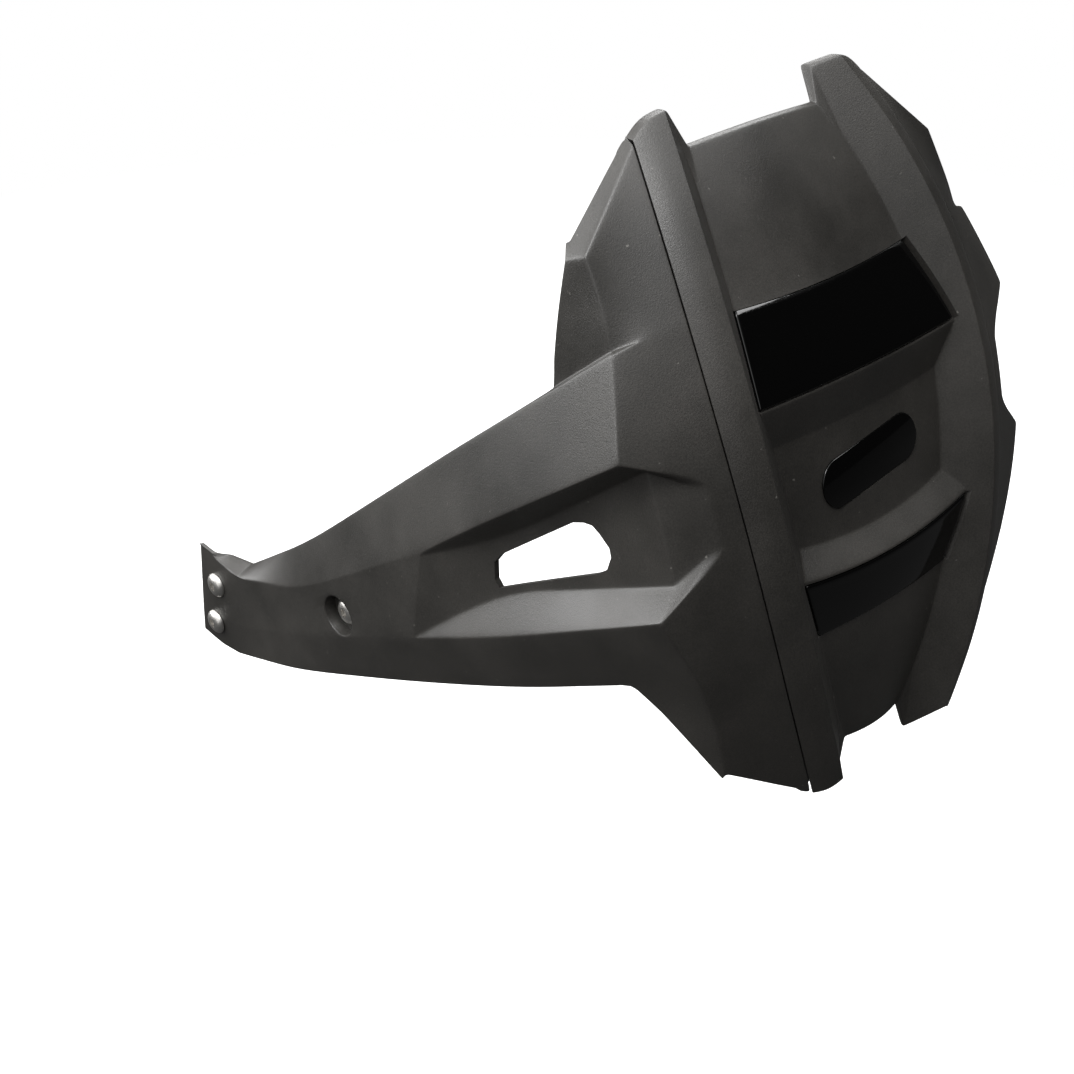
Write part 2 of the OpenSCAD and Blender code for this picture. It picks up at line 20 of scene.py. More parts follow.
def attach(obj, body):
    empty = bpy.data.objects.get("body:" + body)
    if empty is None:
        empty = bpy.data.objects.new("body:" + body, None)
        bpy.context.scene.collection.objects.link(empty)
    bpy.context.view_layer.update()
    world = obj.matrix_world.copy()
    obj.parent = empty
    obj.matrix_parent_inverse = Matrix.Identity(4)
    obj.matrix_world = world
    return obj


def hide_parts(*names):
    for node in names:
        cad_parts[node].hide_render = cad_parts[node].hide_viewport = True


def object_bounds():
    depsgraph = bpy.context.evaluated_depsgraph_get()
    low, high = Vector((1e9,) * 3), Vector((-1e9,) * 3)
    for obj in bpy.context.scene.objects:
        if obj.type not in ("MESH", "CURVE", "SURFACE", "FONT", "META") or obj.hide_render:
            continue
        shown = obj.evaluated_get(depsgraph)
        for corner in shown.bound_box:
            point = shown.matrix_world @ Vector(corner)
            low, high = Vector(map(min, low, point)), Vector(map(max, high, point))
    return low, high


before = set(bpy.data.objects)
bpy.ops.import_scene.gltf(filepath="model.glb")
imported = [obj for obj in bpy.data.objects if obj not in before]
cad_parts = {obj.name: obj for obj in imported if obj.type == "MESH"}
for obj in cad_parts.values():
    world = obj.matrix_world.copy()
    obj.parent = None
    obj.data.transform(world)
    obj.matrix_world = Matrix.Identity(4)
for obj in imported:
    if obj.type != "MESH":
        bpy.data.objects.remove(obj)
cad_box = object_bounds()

print("nodes:", ", ".join(sorted(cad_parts)))
print("size in mm:", [round(1000 * (b - a)) for a, b in zip(*cad_box)])

# %% [markdown]
# ## Two small helpers
#
# An operator works on everything that is selected, and the imported solids
# arrive selected, so each step starts from a clear selection. Colours are
# written as the sRGB hex values that a screen shows, and one function turns
# them into the linear numbers that the shaders want.

# %% Selection and colour
def clear():
    """Leaves edit mode and deselects everything."""
    if bpy.context.object and bpy.context.object.mode != "OBJECT":
        bpy.ops.object.mode_set(mode="OBJECT")
    bpy.ops.object.select_all(action="DESELECT")


def pick(obj):
    """Makes obj the one selected and active object."""
    clear()
    obj.select_set(True)
    bpy.context.view_layer.objects.active = obj
    return obj


def linear(code):
    """An sRGB colour such as #808080 as linear red, green, blue, alpha."""
    out = []
    for i in (1, 3, 5):
        c = int(code[i:i + 2], 16) / 255
        out.append(c / 12.92 if c <= 0.04045 else ((c + 0.055) / 1.055) ** 2.4)
    return out + [1.0]


print("mid grey is", [round(c, 3) for c in linear("#808080")])

# %% [markdown]
# ## The camera first
#
# The camera stands behind and to the left of the guard and looks down at
# it by 32 degrees. Its place was worked out from round edges of a known
# size, so the same lens and distance make the guard fall on the same spot
# of the picture. Setting it first lets every piece be judged from the right
# place.

# %% Camera
bpy.ops.object.camera_add(
    location=(-0.41437, -0.63385, 0.51496),
    rotation=(math.radians(57.89), 0, math.radians(-42.985)),
)
camera = bpy.context.object
camera.data.sensor_width = 36
camera.data.lens = 58.297
camera.data.clip_end = 20
bpy.context.scene.camera = camera
print("camera is", round(camera.location.length, 3), "m from the origin")

# %% [markdown]
# ## The guard's own measures
#
# A hugger is drawn in arcs about one centre. A point is given by its
# distance x from the middle plane, its radius r from the arcs' centre and
# its angle t above the rearward horizontal. These are millimetres, as in a
# workshop drawing. The last step of every piece turns them into metres and
# moves them from the arcs' centre to the middle of the two mounting holes.

# %% Points round the centre
ARC_CENTRE = Vector((107, 46, 64))


def pol(x, r, t):
    a = math.radians(t)
    return Vector((x, -r * math.cos(a), r * math.sin(a)))


def mix(a, b, u):
    return a + (b - a) * u


def table(t, pairs):
    """Straight lines between pairs of angle and value."""
    if t <= pairs[0][0]:
        return pairs[0][1]
    for (t0, v0), (t1, v1) in zip(pairs, pairs[1:]):
        if t <= t1:
            return mix(v0, v1, (t - t0) / (t1 - t0))
    return pairs[-1][1]


def place(p):
    """From millimetres at the arcs' centre to metres at the mounting holes."""
    return (Vector(p) + ARC_CENTRE) * 0.001


print("the arcs' centre is at", [round(c, 3) for c in place((0, 0, 0))])

# %% [markdown]
# A few lengths set the plate and its ribs, and a few angles say where the
# louvres start and end. Short functions give the width and the radius at
# any angle, so the panel, the strips, the bosses and the wings all follow
# the same lines.

# %% The ribs and the louvres
CREST_R, CREST_HALF, CREST_ARC, WIDEST = 347, 69.5, 446, 23.6
RIB_W, RIB_DROP, RIB_RUN = 14, 7, 1.22
VALLEY, RIDGE, CROWN = 13.7, 6, 3
PANEL_WALL, WING_WALL, SEAM_GAP, TUCK = 2.4, 2.6, 0.6, 3.2
IN_TOP, RIDGE_TOP, RIDGE_LOW, IN_LOW = 31, 24.2, 11.9, 6.7
RETURN, RAMP = 21.3, 13.7
TOP, HORN, BOTTOM, TIP = 42, 44.2, -4.1, -4.7


def crest_w(t):
    return CREST_HALF - (math.radians(t - WIDEST) * CREST_R) ** 2 / (2 * CREST_ARC)


def crest_r(t):
    return CREST_R - min(0.14 * (t - 24), 3.4) - min(0, 0.14 * (t - 4))


def seam_w(t):
    return crest_w(t) + RIB_W


def seam_r(t):
    return crest_r(t) - RIB_DROP


def plate_r(t):
    """Radius of the plate between the ribs, with its two louvres."""
    return CREST_R - table(t, [
        (BOTTOM, VALLEY - 4.1), (IN_LOW, RIDGE + 4.3), (RIDGE_LOW, RIDGE),
        (RAMP, VALLEY), (RETURN, VALLEY), (RIDGE_TOP, RIDGE),
        (IN_TOP, VALLEY - 0.4), (TOP, VALLEY + 0.9)])


def bow(t):
    """How far a louvre line sags at the middle."""
    return table(t, [(IN_LOW, 0), (RIDGE_LOW, 4.4), (RAMP, 4.4), (RETURN, 1.1),
                     (RIDGE_TOP, 1.1), (IN_TOP, 2.9), (IN_TOP + 4, 0)])


def plate_pt(t, f, sink=0.0):
    """A point of the plate: f runs from -1 at the left rib to 1 at the right."""
    r = plate_r(t) - sink
    w = crest_w(t) - (crest_r(t) - r) * RIB_RUN
    u = 1 - f * f
    return pol(f * w, r + CROWN * u, t - math.degrees(bow(t) / r) * u)


print("the plate is", round(2 * plate_pt(WIDEST, 1)[0]), "mm wide between the ribs")

# %% [markdown]
# ## From a flat grid to a moulded shell
#
# Every shell is made the same way. A grid is added, flat, with as many
# squares as the shell has fields, and its corners are moved onto the lines
# of the drawing. Squares with no place on the piece are deleted. Then
# Solidify gives the wall, a weighted Bevel turns each hard fold into a
# narrow round one, and Subdivision Surface makes the fields between the
# folds smooth. Bevelling before subdividing is what gives a moulded part
# its even edge radius: the folds stay crisp and still catch a line of light.

# %% Grid, wall and soft folds
FOLD_ANGLE, RIM_ANGLE = 13, 62   # degrees: less is no fold, more is a rim
CRISP_WEIGHT, NARROW_SHARE = 0.45, 0.42
SMOOTH = 2                       # rounds of Subdivision Surface


def lay_grid(name, rows):
    """A grid whose corners lie on rows of points; None leaves a field out."""
    clear()
    n, m = len(rows), len(rows[0])
    bpy.ops.mesh.primitive_grid_add(x_subdivisions=m - 1, y_subdivisions=n - 1, size=1)
    obj = bpy.context.object
    obj.name = name
    obj.data.name = name
    flat = [p for row in rows for p in row]
    columns = obj.data.attributes.new("column", "INT", "POINT")
    for i, (v, p) in enumerate(zip(obj.data.vertices, flat)):
        v.co = place(p) if p is not None else Vector((0, 0, 9))
        columns.data[i].value = i % m
    bpy.ops.object.mode_set(mode="EDIT")
    bpy.ops.mesh.select_mode(type="VERT")
    bpy.ops.mesh.select_all(action="DESELECT")
    bpy.ops.object.mode_set(mode="OBJECT")
    for v, p in zip(obj.data.vertices, flat):
        v.select = p is None
    bpy.ops.object.mode_set(mode="EDIT")
    bpy.ops.mesh.delete(type="VERT")
    bpy.ops.object.mode_set(mode="OBJECT")
    return obj


def face_out(obj, centre):
    """Turns an open sheet so that its faces look away from centre."""
    me = obj.data
    away = sum((p.center - centre).dot(p.normal) * p.area for p in me.polygons)
    if away < 0:
        pick(obj)
        bpy.ops.object.mode_set(mode="EDIT")
        bpy.ops.mesh.select_all(action="SELECT")
        bpy.ops.mesh.flip_normals()
        bpy.ops.object.mode_set(mode="OBJECT")


def apply(obj, kind, **settings):
    """Adds one modifier, sets it and applies it."""
    pick(obj)
    mod = obj.modifiers.new(kind.title(), kind)
    for key, value in settings.items():
        setattr(mod, key, value)
    bpy.ops.object.modifier_apply(modifier=mod.name)


def weigh_folds(obj, radius, rim=0.45, soft_cols=(), crisp_cols=()):
    """Bevel weights by angle: a gentle bend none, a fold full, a rim less.

    Beside a narrow field the weight is cut, so that two bevels never meet.
    """
    bm = bmesh.new()
    bm.from_mesh(obj.data)
    layer = (bm.edges.layers.float.get("bevel_weight_edge")
             or bm.edges.layers.float.new("bevel_weight_edge"))
    column = bm.verts.layers.int["column"]
    folds = rims = 0
    for edge in bm.edges:
        angle = math.degrees(edge.calc_face_angle(0))
        ends = {v[column] for v in edge.verts}
        if len(ends) == 1 and ends <= set(soft_cols):
            angle = 0 if angle < RIM_ANGLE else angle
        weight = rim if angle > RIM_ANGLE else 1.0 if angle > FOLD_ANGLE else 0
        if len(ends) == 1 and ends <= set(crisp_cols):
            weight = min(weight, CRISP_WEIGHT)
        length = max(edge.calc_length(), 1e-6)
        narrow = min([f.calc_area() / length for f in edge.link_faces] + [1])
        edge[layer] = min(weight, NARROW_SHARE * narrow / (radius * 0.001))
        folds += FOLD_ANGLE < angle <= RIM_ANGLE
        rims += angle > RIM_ANGLE
    bm.to_mesh(obj.data)
    bm.free()
    return folds, rims


def mould(obj, wall, radius, centre, **weights):
    """Sheet to shell: wall, rounded folds and smooth fields."""
    face_out(obj, centre)
    apply(obj, "SOLIDIFY", thickness=wall * 0.001, offset=-1,
          use_even_offset=True, use_quality_normals=True, thickness_clamp=0)
    found = weigh_folds(obj, radius, **weights)
    apply(obj, "BEVEL", width=radius * 0.001, segments=2, limit_method="WEIGHT",
          use_clamp_overlap=False, miter_outer="MITER_SHARP")
    apply(obj, "SUBSURF", levels=SMOOTH, render_levels=SMOOTH)
    print(f"{obj.name}: {found[0]} folds, {found[1]} rims,",
          f"{len(obj.data.polygons)} faces")


def finish_piece(obj, material, slot, *nodes):
    """Finish, smooth shading, and the solid that this piece stands for."""
    obj.data.materials.clear()
    obj.data.materials.append(material)
    pick(obj)
    bpy.ops.object.shade_smooth_by_angle(angle=math.radians(32))
    clear()
    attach(obj, "root")
    if nodes:
        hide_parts(*nodes)


print("folds over", FOLD_ANGLE, "degrees get a bevel")

# %% [markdown]
# ## Finishes
#
# One small function adds a shader node with its settings and its links. All
# patterns read Object coordinates, which are metres here, so a scale of
# 1000 means one grain each millimetre.

# %% A node at a time
def add(tree, kind, settings=None, links=None):
    """Adds a node, sets its sockets or fields and links its inputs."""
    node = tree.nodes.new(kind)
    for key, value in (settings or {}).items():
        if isinstance(key, int) or key in node.inputs:
            node.inputs[key].default_value = value
        else:
            setattr(node, key, value)
    for key, source in (links or {}).items():
        tree.links.new(source, node.inputs[key])
    return node


def new_material(name):
    """An empty material with an output, a main shader and coordinates."""
    material = bpy.data.materials.new(name)
    material.use_nodes = True
    tree = material.node_tree
    tree.nodes.clear()
    out = add(tree, "ShaderNodeOutputMaterial")
    shader = add(tree, "ShaderNodeBsdfPrincipled")
    tree.links.new(shader.outputs["BSDF"], out.inputs["Surface"])
    where = add(tree, "ShaderNodeTexCoord").outputs["Object"]
    return material, tree, shader, where


print("node helper ready")

# %% [markdown]
# ### Moulded polypropylene
#
# The shells are injection-moulded polypropylene, through-coloured charcoal.
# The steel mould was spark-eroded, so the surface has a fine, even grain
# that scatters the light: it never mirrors, but a face that leans towards
# the sky turns clearly paler. Real grain is about 0.3 mm wide. That is
# under a pixel here, so it is drawn about twice as coarse, and low. A slow
# cloud in colour and roughness stands for handling, and sparse pale dots for
# dust. The IOR is above the plastic's own 1.49, to match the sheen of the
# real guard.

# %% Charcoal plastic
charcoal, tree, shader, where = new_material("moulded_polypropylene")
cloud = add(tree, "ShaderNodeTexNoise",
            {"Scale": 14, "Detail": 4, "Roughness": 0.6}, {"Vector": where})
tone = add(tree, "ShaderNodeValToRGB", links={"Fac": cloud.outputs["Fac"]})
tone.color_ramp.elements[0].position = 0.3
tone.color_ramp.elements[0].color = linear("#242321")
tone.color_ramp.elements[1].position = 0.75
tone.color_ramp.elements[1].color = linear("#363431")
speck = add(tree, "ShaderNodeTexNoise",
            {"Scale": 1500, "Detail": 2, "Roughness": 0.5}, {"Vector": where})
mottle = add(tree, "ShaderNodeMapRange",
             {"From Min": 0.35, "From Max": 0.65, "To Min": 0.8, "To Max": 1.25},
             {"Value": speck.outputs["Fac"]})
tint = add(tree, "ShaderNodeVectorMath", {"operation": "SCALE"},
           {0: tone.outputs["Color"], "Scale": mottle.outputs["Result"]})
crumb = add(tree, "ShaderNodeTexNoise", {"Scale": 420, "Detail": 1}, {"Vector": where})
dots = add(tree, "ShaderNodeMapRange",
           {"From Min": 0.77, "From Max": 0.84, "To Max": 0.5},
           {"Value": crumb.outputs["Fac"]})
dusty = add(tree, "ShaderNodeMix", {"data_type": "RGBA", 7: linear("#7d7b76")},
            {0: dots.outputs["Result"], 6: tint.outputs["Vector"]})
tree.links.new(dusty.outputs[2], shader.inputs["Base Color"])
rough = add(tree, "ShaderNodeMapRange",
            {"From Min": 0.35, "From Max": 0.65, "To Min": 0.35, "To Max": 0.48},
            {"Value": cloud.outputs["Fac"]})
tree.links.new(rough.outputs["Result"], shader.inputs["Roughness"])
grain = add(tree, "ShaderNodeTexNoise",
            {"Scale": 1700, "Detail": 3, "Roughness": 0.55}, {"Vector": where})
bump = add(tree, "ShaderNodeBump", {"Strength": 0.5, "Distance": 0.0002},
           {"Height": grain.outputs["Fac"]})
tree.links.new(bump.outputs["Normal"], shader.inputs["Normal"])
shader.inputs["IOR"].default_value = 1.58
print(charcoal.name, "has", len(tree.nodes), "nodes")

# %% [markdown]
# ### Polished black ABS
#
# The inlays are black ABS from a polished mould. Nearly all that one sees
# of them is reflection, so the colour is close to black, the roughness is
# low, and a slow ripple of about a tenth of a millimetre bends the
# reflections as a real moulding does.

# %% Gloss black
gloss, tree, shader, where = new_material("polished_abs")
ripple = add(tree, "ShaderNodeTexNoise", {"Scale": 22, "Detail": 1}, {"Vector": where})
bump = add(tree, "ShaderNodeBump", {"Strength": 0.25, "Distance": 0.0012},
           {"Height": ripple.outputs["Fac"]})
tree.links.new(bump.outputs["Normal"], shader.inputs["Normal"])
dust = add(tree, "ShaderNodeTexNoise", {"Scale": 900, "Detail": 2}, {"Vector": where})
haze = add(tree, "ShaderNodeMapRange",
           {"From Min": 0.45, "From Max": 0.8, "To Min": 0.05, "To Max": 0.16},
           {"Value": dust.outputs["Fac"]})
tree.links.new(haze.outputs["Result"], shader.inputs["Roughness"])
shader.inputs["Base Color"].default_value = linear("#040404")
shader.inputs["IOR"].default_value = 1.46
print(gloss.name, "ready")

# %% [markdown]
# ### Stainless steel and zinc plate
#
# The screws are A2 stainless steel, cold headed and tumbled: bright, with
# fine random scratches. The bracket, sleeves and nuts are mild steel with
# zinc plate, which is duller and has a faint crystalline mottle.

# %% Two metals
stainless, tree, shader, where = new_material("stainless_steel")
scratch = add(tree, "ShaderNodeTexNoise", {"Scale": 2200, "Detail": 3}, {"Vector": where})
sheen = add(tree, "ShaderNodeMapRange",
            {"From Min": 0.35, "From Max": 0.65, "To Min": 0.3, "To Max": 0.42},
            {"Value": scratch.outputs["Fac"]})
tree.links.new(sheen.outputs["Result"], shader.inputs["Roughness"])
bump = add(tree, "ShaderNodeBump", {"Strength": 0.3, "Distance": 0.00005},
           {"Height": scratch.outputs["Fac"]})
tree.links.new(bump.outputs["Normal"], shader.inputs["Normal"])
shader.inputs["Base Color"].default_value = linear("#cfcdc9")
shader.inputs["Metallic"].default_value = 1.0

zinc, tree, shader, where = new_material("zinc_plated_steel")
flake = add(tree, "ShaderNodeTexVoronoi", {"Scale": 420}, {"Vector": where})
tone = add(tree, "ShaderNodeValToRGB", links={"Fac": flake.outputs["Distance"]})
tone.color_ramp.elements[0].color = linear("#a3a8ae")
tone.color_ramp.elements[1].color = linear("#8d9299")
tree.links.new(tone.outputs["Color"], shader.inputs["Base Color"])
dull = add(tree, "ShaderNodeTexNoise", {"Scale": 60, "Detail": 3}, {"Vector": where})
sheen = add(tree, "ShaderNodeMapRange",
            {"From Min": 0.3, "From Max": 0.7, "To Min": 0.34, "To Max": 0.52},
            {"Value": dull.outputs["Fac"]})
tree.links.new(sheen.outputs["Result"], shader.inputs["Roughness"])
shader.inputs["Metallic"].default_value = 1.0
print(stainless.name, "and", zinc.name, "ready")

# %% [markdown]
# ## Turned pieces and cuts
#
# The arm's screws, bosses and bores are all round about an axis that runs
# from left to right. A ring of points is laid on the outline of one half
# and spun. The same turned pieces serve as cutters. The counterbore's has a
# small flare where it leaves the plastic, which gives its mouth a soft edge.

# %% Spin and cut
ROUND = 64   # steps in a full turn of a boss or a bore


def turned(name, at, outline, steps):
    """Spins an outline of (x, radius) pairs, in mm, about x at (y, z)."""
    clear()
    bpy.ops.mesh.primitive_circle_add(vertices=len(outline), radius=1)
    obj = bpy.context.object
    obj.name = name
    for v, (x, r) in zip(obj.data.vertices, outline):
        v.co = place((-x, at[0], at[1] + r))
    bpy.ops.object.mode_set(mode="EDIT")
    bpy.ops.mesh.select_all(action="SELECT")
    bpy.ops.mesh.spin(steps=steps, angle=math.tau, center=place((0, at[0], at[1])),
                      axis=(1, 0, 0))
    bpy.ops.mesh.select_all(action="SELECT")
    bpy.ops.mesh.remove_doubles(threshold=2e-6)
    bpy.ops.mesh.normals_make_consistent(inside=False)
    bpy.ops.object.mode_set(mode="OBJECT")
    return obj


def join_or_cut(obj, tool, how="DIFFERENCE"):
    """Adds a tool to a piece or cuts it away, and removes the tool."""
    apply(obj, "BOOLEAN", object=tool, operation=how, solver="EXACT")
    bpy.data.objects.remove(tool, do_unlink=True)


def tube_cut(obj, at, x0, x1, d, flare=0.0):
    """Cuts a bore from x0 outside to x1 inside, with a rounded mouth."""
    r = d / 2
    outline = [(x1, 0), (x1, r)]
    if flare:
        outline += [(x0 - flare, r), (x0 - flare * 0.3, r + flare * 0.3),
                    (x0, r + flare), (x0 + 4, r + flare), (x0 + 4, 0)]
    else:
        outline += [(x0, r), (x0, 0)]
    join_or_cut(obj, turned("cutter", at, outline, ROUND))


print("bores are cut with", ROUND, "sides")

# %% [markdown]
# ## The centre panel
#
# The panel is the part that one sees from behind: a curved plate with two
# louvre steps across it and a rib along each side. The rows of its grid
# stand where the plate turns and, between those, every few degrees. Across
# it there are three points on each rib and eleven on the plate. The rib's
# outer shoulder is a soft roll, so that line gets no bevel, while its crest
# stays crisp.

# %% Rows of the panel
PLATE = [-0.94, -0.75, -0.5, -0.25, 0, 0.25, 0.5, 0.75, 0.94]
SHOULDER_AT = 0.57   # place of the shoulder, as a share of the rib's width
SHOULDER_DROP = [(BOTTOM, 0.33), (34, 0.33), (HORN, 0.45)]   # share of its fall
HORN_LIP, PLATE_LIP = (0.85, 4.2, 0.55), (0, 2.7, 0.42)   # inward, down, round


def rib(tc, tf, ts, s):
    """Crest, shoulder and seam of one rib, each at its own angle."""
    fall = table(tf, SHOULDER_DROP) * RIB_DROP
    return [pol(s * crest_w(tc), crest_r(tc), tc),
            pol(s * (crest_w(tf) + SHOULDER_AT * RIB_W), crest_r(tf) - fall, tf),
            pol(s * seam_w(ts), seam_r(ts), ts)]


def panel_row(t, tc, tf, ts, foot=None):
    foot = foot or [plate_pt(t, -1), plate_pt(t, 1)]
    return (rib(tc, tf, ts, -1)[::-1] + [foot[0]] + [plate_pt(t, f) for f in PLATE]
            + [foot[1]] + rib(tc, tf, ts, 1))


def horn_feet(t, inset, down):
    """Ends of the two inner slopes, in from the crests and down from them."""
    return [pol(s * (crest_w(t) - inset), crest_r(t) - down, t) for s in (-1, 1)]


def lip(row):
    """The turned edge along the top, deep on the two horns."""
    out = []
    for j, p in enumerate(row):
        horn = j < 4 or j > len(row) - 5
        r, t = math.hypot(p.y, p.z), math.degrees(math.atan2(p.z, -p.y))
        inward, down, turn = HORN_LIP if horn else PLATE_LIP
        out.append(pol(p.x - math.copysign(inward, p.x), r - down, t + turn))
    return out


row_angles = [39.6, 37.2, 34.8, 32.9, IN_TOP, mix(IN_TOP, RIDGE_TOP, 0.33),
              mix(IN_TOP, RIDGE_TOP, 0.66), RIDGE_TOP, RETURN, 19.4, 17.5, 15.6,
              RAMP, RIDGE_LOW, 9.3, IN_LOW, 4.8, 2.8, 0.6, -1.8]
top_row = panel_row(TOP, HORN, HORN, HORN - 0.8, horn_feet(HORN + 0.4, 8.8, 8.2))
end_row = panel_row(BOTTOM, TIP, TIP - 0.8, TIP - 1.1, horn_feet(TIP - 2.15, 8, 11.7))
panel_rows = [lip(top_row), top_row]
panel_rows += [panel_row(t, t, t, t) for t in row_angles] + [end_row]
print(len(panel_rows), "rows of", len(top_row), "points")

# %% Mould the panel
arc_middle = place((0, 0, 0))
panel = lay_grid("panel_shell", panel_rows)
mould(panel, PANEL_WALL + 0.7, 0.9, arc_middle, rim=0.85, soft_cols=(1, 15),
      crisp_cols=(0, 2, 14, 16))

# %% [markdown]
# ## The gloss inlays
#
# Each louvre's upper face carries a polished strip. It lies in a shallow
# pocket and stands a touch proud, and its upper edge falls away in a small
# slope that catches a thin line of light. The pocket is cut first, with a
# slab a little wider than the strip, and the strip is laid into it.

# %% Pockets and strips
def strip(name, t0, t1, sink, depth, side, roll=0.0):
    """A bent slab from angle t0 to t1 whose top is sunk below the plate."""
    across = [-1] + PLATE + [1]
    rows = [[plate_pt(mix(t0, t1, i / 6), f * side, sink) for f in across]
            for i in range(7)]
    if roll:
        rows[0] = [plate_pt(t0, f * side, sink + roll) for f in across]
        rows.insert(1, [plate_pt(t0 - 0.3, f * side, sink - 0.1) for f in across])
    obj = lay_grid(name, rows)
    face_out(obj, arc_middle)
    apply(obj, "SOLIDIFY", thickness=depth * 0.001, offset=-1, use_even_offset=True)
    return obj


PROUD, STRIP_SUNK = 0.5, 1.25    # mm over and under the plate
POCKET_OVER, POCKET_SUNK = 2.0, 1.5
POCKET_SIDE, STRIP_SIDE = 0.992, 0.985
STRIP_EDGE, STRIP_SLOPE = 0.9, 0.6
bands = {"upper_inlay": (IN_TOP - 0.05, RIDGE_TOP + 0.22),
         "lower_inlay": (RIDGE_LOW - 0.22, IN_LOW + 0.05)}
for name, (t0, t1) in bands.items():
    pocket = strip("cutter", t0 + 0.03, t1 - 0.03, -POCKET_OVER,
                   POCKET_OVER + POCKET_SUNK, POCKET_SIDE)
    apply(pocket, "SUBSURF", levels=SMOOTH, render_levels=SMOOTH,
          subdivision_type="SIMPLE")
    join_or_cut(panel, pocket)
    piece = strip(name + "_gloss", t0, t1, -PROUD, STRIP_SUNK + PROUD, STRIP_SIDE,
                  roll=STRIP_SLOPE)
    weigh_folds(piece, STRIP_EDGE, rim=1.0)
    apply(piece, "BEVEL", width=0.0009, segments=3, limit_method="WEIGHT")
    apply(piece, "SUBSURF", levels=SMOOTH, render_levels=SMOOTH)
    finish_piece(piece, gloss, "gloss_black", name)
    print(name, "is", round(1000 * max(piece.dimensions)), "mm long")

# %% [markdown]
# ## The plain badge
#
# Between the louvres the plate has a recess for a badge. Here it stays
# plain: a slanted bar with round ends, polished like the inlays. A circle
# gives each end. The bar is a filled outline, extruded, with its rim
# rounded by a bevel.

# %% Badge and its recess
BADGE_LEN, BADGE_H, BADGE_SLANT = 62, 21, 2.4
BADGE_SUNK, BADGE_ROOM, BADGE_THICK = 1.3, 0.15, 0.9
badge_t = mix(RETURN, RAMP, 0.52)
badge_floor = plate_r(badge_t) + CROWN - BADGE_SUNK


def bar(name, grow, lo, hi):
    """A round-ended slanted bar that lies on the plate, lo to hi high."""
    clear()
    ring = 48
    bpy.ops.mesh.primitive_circle_add(vertices=ring, fill_type="NGON")
    obj = bpy.context.object
    obj.name = name
    turn = Matrix.Rotation(math.radians(90 - badge_t), 4, "X")
    r = BADGE_H / 2 + grow
    half = BADGE_LEN / 2 - BADGE_H / 2
    for v in obj.data.vertices:
        a = math.atan2(v.co.y, v.co.x)
        s = 1 if math.cos(a) >= 0 else -1
        flat = Vector((s * half + r * math.cos(a),
                       s * BADGE_SLANT + r * math.sin(a), badge_floor + lo))
        v.co = place(turn @ flat)
    up = turn @ Vector((0, 0, (hi - lo) * 0.001))
    bpy.ops.object.mode_set(mode="EDIT")
    bpy.ops.mesh.select_all(action="SELECT")
    bpy.ops.mesh.extrude_region_move(TRANSFORM_OT_translate={"value": up})
    bpy.ops.mesh.select_all(action="SELECT")
    bpy.ops.mesh.normals_make_consistent(inside=False)
    bpy.ops.object.mode_set(mode="OBJECT")
    return obj


join_or_cut(panel, bar("cutter", BADGE_ROOM, 0, 10))
badge = bar("badge_bar", -BADGE_ROOM, 0.01, BADGE_THICK)
apply(badge, "BEVEL", width=0.0004, segments=3, limit_method="ANGLE",
      angle_limit=math.radians(60))
finish_piece(badge, gloss, "gloss_black", "centre_badge")
print("badge", [round(1000 * d, 1) for d in badge.dimensions], "mm")

# %% [markdown]
# ### Bosses under the ribs
#
# Three bosses under each rib take the screws that hold a wing. For each, a
# cylinder is joined to the panel and a thinner one is cut out of it.

# %% Bosses
def radial_cylinder(name, x, t, lo, hi, d, vertices=32):
    """A cylinder that stands on the line from the arcs' centre at angle t."""
    clear()
    mid = pol(x, (lo + hi) / 2, t)
    bpy.ops.mesh.primitive_cylinder_add(
        vertices=vertices, radius=d / 2000, depth=(hi - lo) / 1000,
        location=place(mid), rotation=(math.radians(90 - t), 0, 0))
    obj = bpy.context.object
    obj.name = name
    bpy.ops.object.transform_apply(location=True, rotation=True, scale=True)
    return obj


JOINTS = [36, 21.5, 1]
JOINT_AT = 0.33                       # share of the rib's width
BOSS_UNDER, HOLE_UNDER = 4.6, 5.1     # mm below the crest
RIB_BOSS_D, PILOT_D, CLEAR_D = 9, 4.2, 4.4


def joint_x(t, s):
    return s * (crest_w(t) + JOINT_AT * RIB_W)


for t in JOINTS:
    for s in (-1, 1):
        x = joint_x(t, s)
        seat = seam_r(t) - TUCK
        boss = radial_cylinder("boss", x, t, seat + 0.2,
                               seat + TUCK + RIB_DROP - BOSS_UNDER, RIB_BOSS_D)
        join_or_cut(panel, boss, "UNION")
        hole = radial_cylinder("cutter", x, t, seat - 1,
                               seat + TUCK + RIB_DROP - HOLE_UNDER, PILOT_D, 24)
        join_or_cut(panel, hole)
finish_piece(panel, charcoal, "moulded_plastic", "centre_panel")
print("panel:", len(panel.data.polygons), "faces")

# %% [markdown]
# ## The wings and the arm
#
# A wing runs from the seam beside the rib down to a crease, and turns
# there into its side. Near the middle the left wing's side does not end:
# it runs on forward as the arm, a wide channel with a sunk scoop in its
# outer face. The right wing is the same moulding without the arm, seen in
# a mirror. The rows below are the wing's ribs of the drawing: the angle at
# the seam, and where the crease lies.

